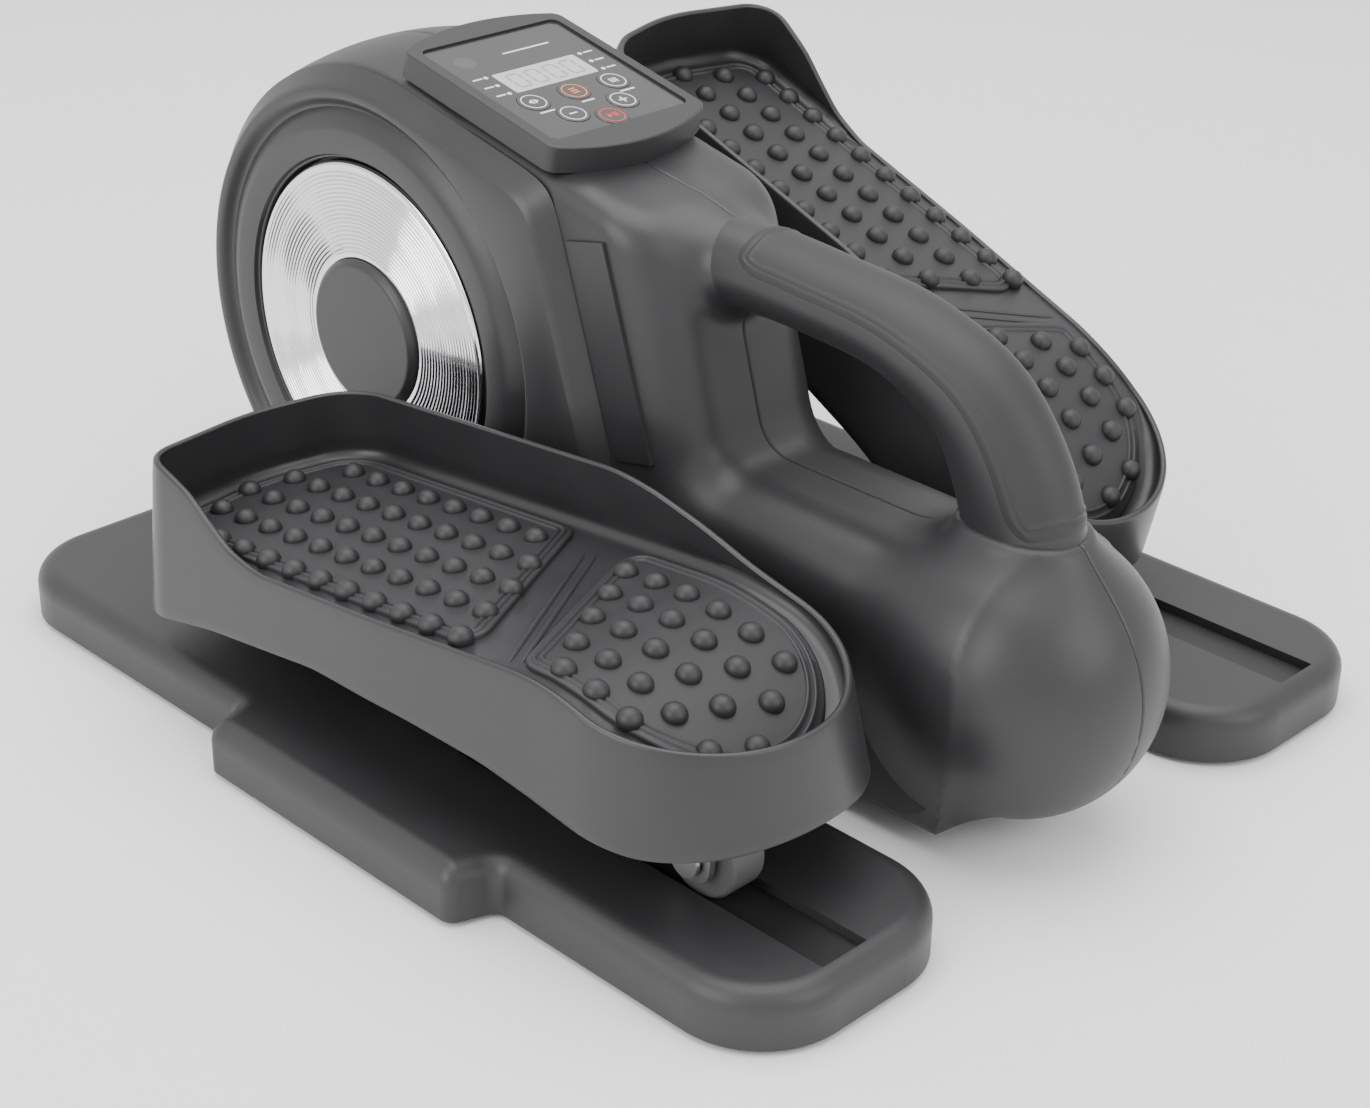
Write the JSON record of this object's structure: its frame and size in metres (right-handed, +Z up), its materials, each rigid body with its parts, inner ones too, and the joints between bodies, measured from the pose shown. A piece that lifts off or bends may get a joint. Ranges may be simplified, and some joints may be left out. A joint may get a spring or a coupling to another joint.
{
  "type": "pedal exerciser",
  "caption": "Under-desk motorised pedal exerciser: two foot trays on a belt-driven crank and rollers, round drive housing, sloping console and carry handle on a rounded nose.",
  "frame": {"origin": "on the floor, midway across the width and midway between the front of the nose and the back of the round housing", "axes": "+Z up, the user sits on the -Y side, +X to the user's right"},
  "size_m": [0.42, 0.512, 0.2522],
  "materials": {
    "pod_plastic": "satin moulded",
    "body_plastic": "fine satin texture",
    "cover_plastic": "satin",
    "cap_plastic": "matte",
    "tray_plastic": "satin moulded",
    "mat_rubber": "soft matte",
    "foot_rubber": "matte",
    "belt_rubber": "matte",
    "chrome_trim": "mirror with concentric grooves",
    "disc_plastic": "matte",
    "steel": "zinc plated",
    "screw_steel": "zinc plated",
    "motor_can": "satin",
    "roller_nylon": "matte",
    "track_strip": "smooth",
    "overlay_film": "satin gloss film",
    "key_film": "satin gloss film",
    "display_glass": "LCD window",
    "lamp_lens": "clear",
    "remote_glass": "smoked",
    "circuit_board": "solder mask",
    "connector_plastic": "matte"
  },
  "bodies": {
    "root": {"left_base_pod": "pod_plastic", "right_base_pod": "pod_plastic", "base_covers": "pod_plastic", "rubber_feet": "foot_rubber", "base_screws": "screw_steel", "tracks": "track_strip", "cross_tubes": "steel", "console_bezel": "body_plastic", "console_overlay": "overlay_film", "display_window": "display_glass", "indicator_lenses": "lamp_lens", "remote_window": "remote_glass", "console_board": "circuit_board", "body_screws": "screw_steel", "power_inlet": "connector_plastic", "left_side_cover": "cover_plastic", "right_side_cover": "cover_plastic", "side_strips": "body_plastic", "nose_panels": "body_plastic", "control_board": "circuit_board", "left_body_shell": "body_plastic", "right_body_shell": "body_plastic", "carry_handle": "body_plastic", "handle_grip": "body_plastic", "frame_plates": "steel", "axle_bearings": "steel", "motor": "motor_can", "drive_belt": "belt_rubber", "speed_sensor": "connector_plastic"},
    "crank": {"driven_pulley": "disc_plastic", "crank_axle": "steel", "left_crank_disc": "disc_plastic", "left_chrome_ring": "chrome_trim", "left_hub_cap": "cap_plastic", "right_crank_disc": "disc_plastic", "right_chrome_ring": "chrome_trim", "right_hub_cap": "cap_plastic"},
    "motor_rotor": {"motor_pulley": "disc_plastic"},
    "left_pedal": {"left_pedal_tray": "tray_plastic", "left_forefoot_mat": "mat_rubber", "left_heel_mat": "mat_rubber", "left_pedal_pin": "steel", "left_heel_fork": "steel", "left_fork_screws": "screw_steel"},
    "left_carriage": {"left_roller_axle": "steel"},
    "left_roller": {"left_roller": "roller_nylon"},
    "right_pedal": {"right_pedal_tray": "tray_plastic", "right_forefoot_mat": "mat_rubber", "right_heel_mat": "mat_rubber", "right_pedal_pin": "steel", "right_heel_fork": "steel", "right_fork_screws": "screw_steel"},
    "right_carriage": {"right_roller_axle": "steel"},
    "right_roller": {"right_roller": "roller_nylon"},
    "direction_key": {"direction_key": "key_film"},
    "mode_key": {"mode_key": "key_film"},
    "function_key": {"function_key": "key_film"},
    "slower_key": {"slower_key": "key_film"},
    "faster_key": {"faster_key": "key_film"},
    "start_stop_key": {"start_stop_key": "key_film"}
  },
  "joints": [
    {"name": "crank_spin", "type": "hinge", "parent": "root", "child": "crank", "pos_m": [0, 0.132, 0.1187], "axis": [1, 0, 0], "continuous": true},
    {"name": "motor_spin", "type": "hinge", "parent": "root", "child": "motor_rotor", "pos_m": [0, 0.02, 0.084], "axis": [1, 0, 0], "continuous": true},
    {"name": "left_glide", "type": "slide", "parent": "root", "child": "left_carriage", "axis": [0, 1, 0], "range_m": [-0.0416, 0.0947]},
    {"name": "left_tilt", "type": "hinge", "parent": "left_carriage", "child": "left_pedal", "pos_m": [0, -0.17314, 0.0395], "axis": [1, 0, 0], "range_deg": [-0.36, 26.79]},
    {"name": "left_roller_spin", "type": "hinge", "parent": "left_carriage", "child": "left_roller", "pos_m": [0, -0.17314, 0.0395], "axis": [1, 0, 0], "continuous": true},
    {"name": "right_glide", "type": "slide", "parent": "root", "child": "right_carriage", "axis": [0, 1, 0], "range_m": [-0.1093, 0.0416]},
    {"name": "right_tilt", "type": "hinge", "parent": "right_carriage", "child": "right_pedal", "pos_m": [0, -0.10548, 0.0395], "axis": [1, 0, 0], "range_deg": [-26.79, 0.41]},
    {"name": "right_roller_spin", "type": "hinge", "parent": "right_carriage", "child": "right_roller", "pos_m": [0, -0.10548, 0.0395], "axis": [1, 0, 0], "continuous": true},
    {"name": "direction_key_press", "type": "slide", "parent": "root", "child": "direction_key", "axis": [0, 0.2079, -0.9781], "range_m": [0, 0.0004], "stiffness_N_per_m": 1500},
    {"name": "mode_key_press", "type": "slide", "parent": "root", "child": "mode_key", "axis": [0, 0.2079, -0.9781], "range_m": [0, 0.0004], "stiffness_N_per_m": 1500},
    {"name": "function_key_press", "type": "slide", "parent": "root", "child": "function_key", "axis": [0, 0.2079, -0.9781], "range_m": [0, 0.0004], "stiffness_N_per_m": 1500},
    {"name": "slower_key_press", "type": "slide", "parent": "root", "child": "slower_key", "axis": [0, 0.2079, -0.9781], "range_m": [0, 0.0004], "stiffness_N_per_m": 1500},
    {"name": "faster_key_press", "type": "slide", "parent": "root", "child": "faster_key", "axis": [0, 0.2079, -0.9781], "range_m": [0, 0.0004], "stiffness_N_per_m": 1500},
    {"name": "start_stop_key_press", "type": "slide", "parent": "root", "child": "start_stop_key", "axis": [0, 0.2079, -0.9781], "range_m": [0, 0.0004], "stiffness_N_per_m": 1500}
  ],
  "couplings": [
    {"joint": "motor_spin", "follows": "crank_spin", "ratio": 5},
    {"joint": "right_glide", "follows": "left_glide", "ratio": -1},
    {"joint": "right_tilt", "follows": "left_tilt", "ratio": -1},
    {"joint": "left_roller_spin", "follows": "left_glide", "rad_per_m": -55.556},
    {"joint": "right_roller_spin", "follows": "left_glide", "rad_per_m": 55.556}
  ]
}
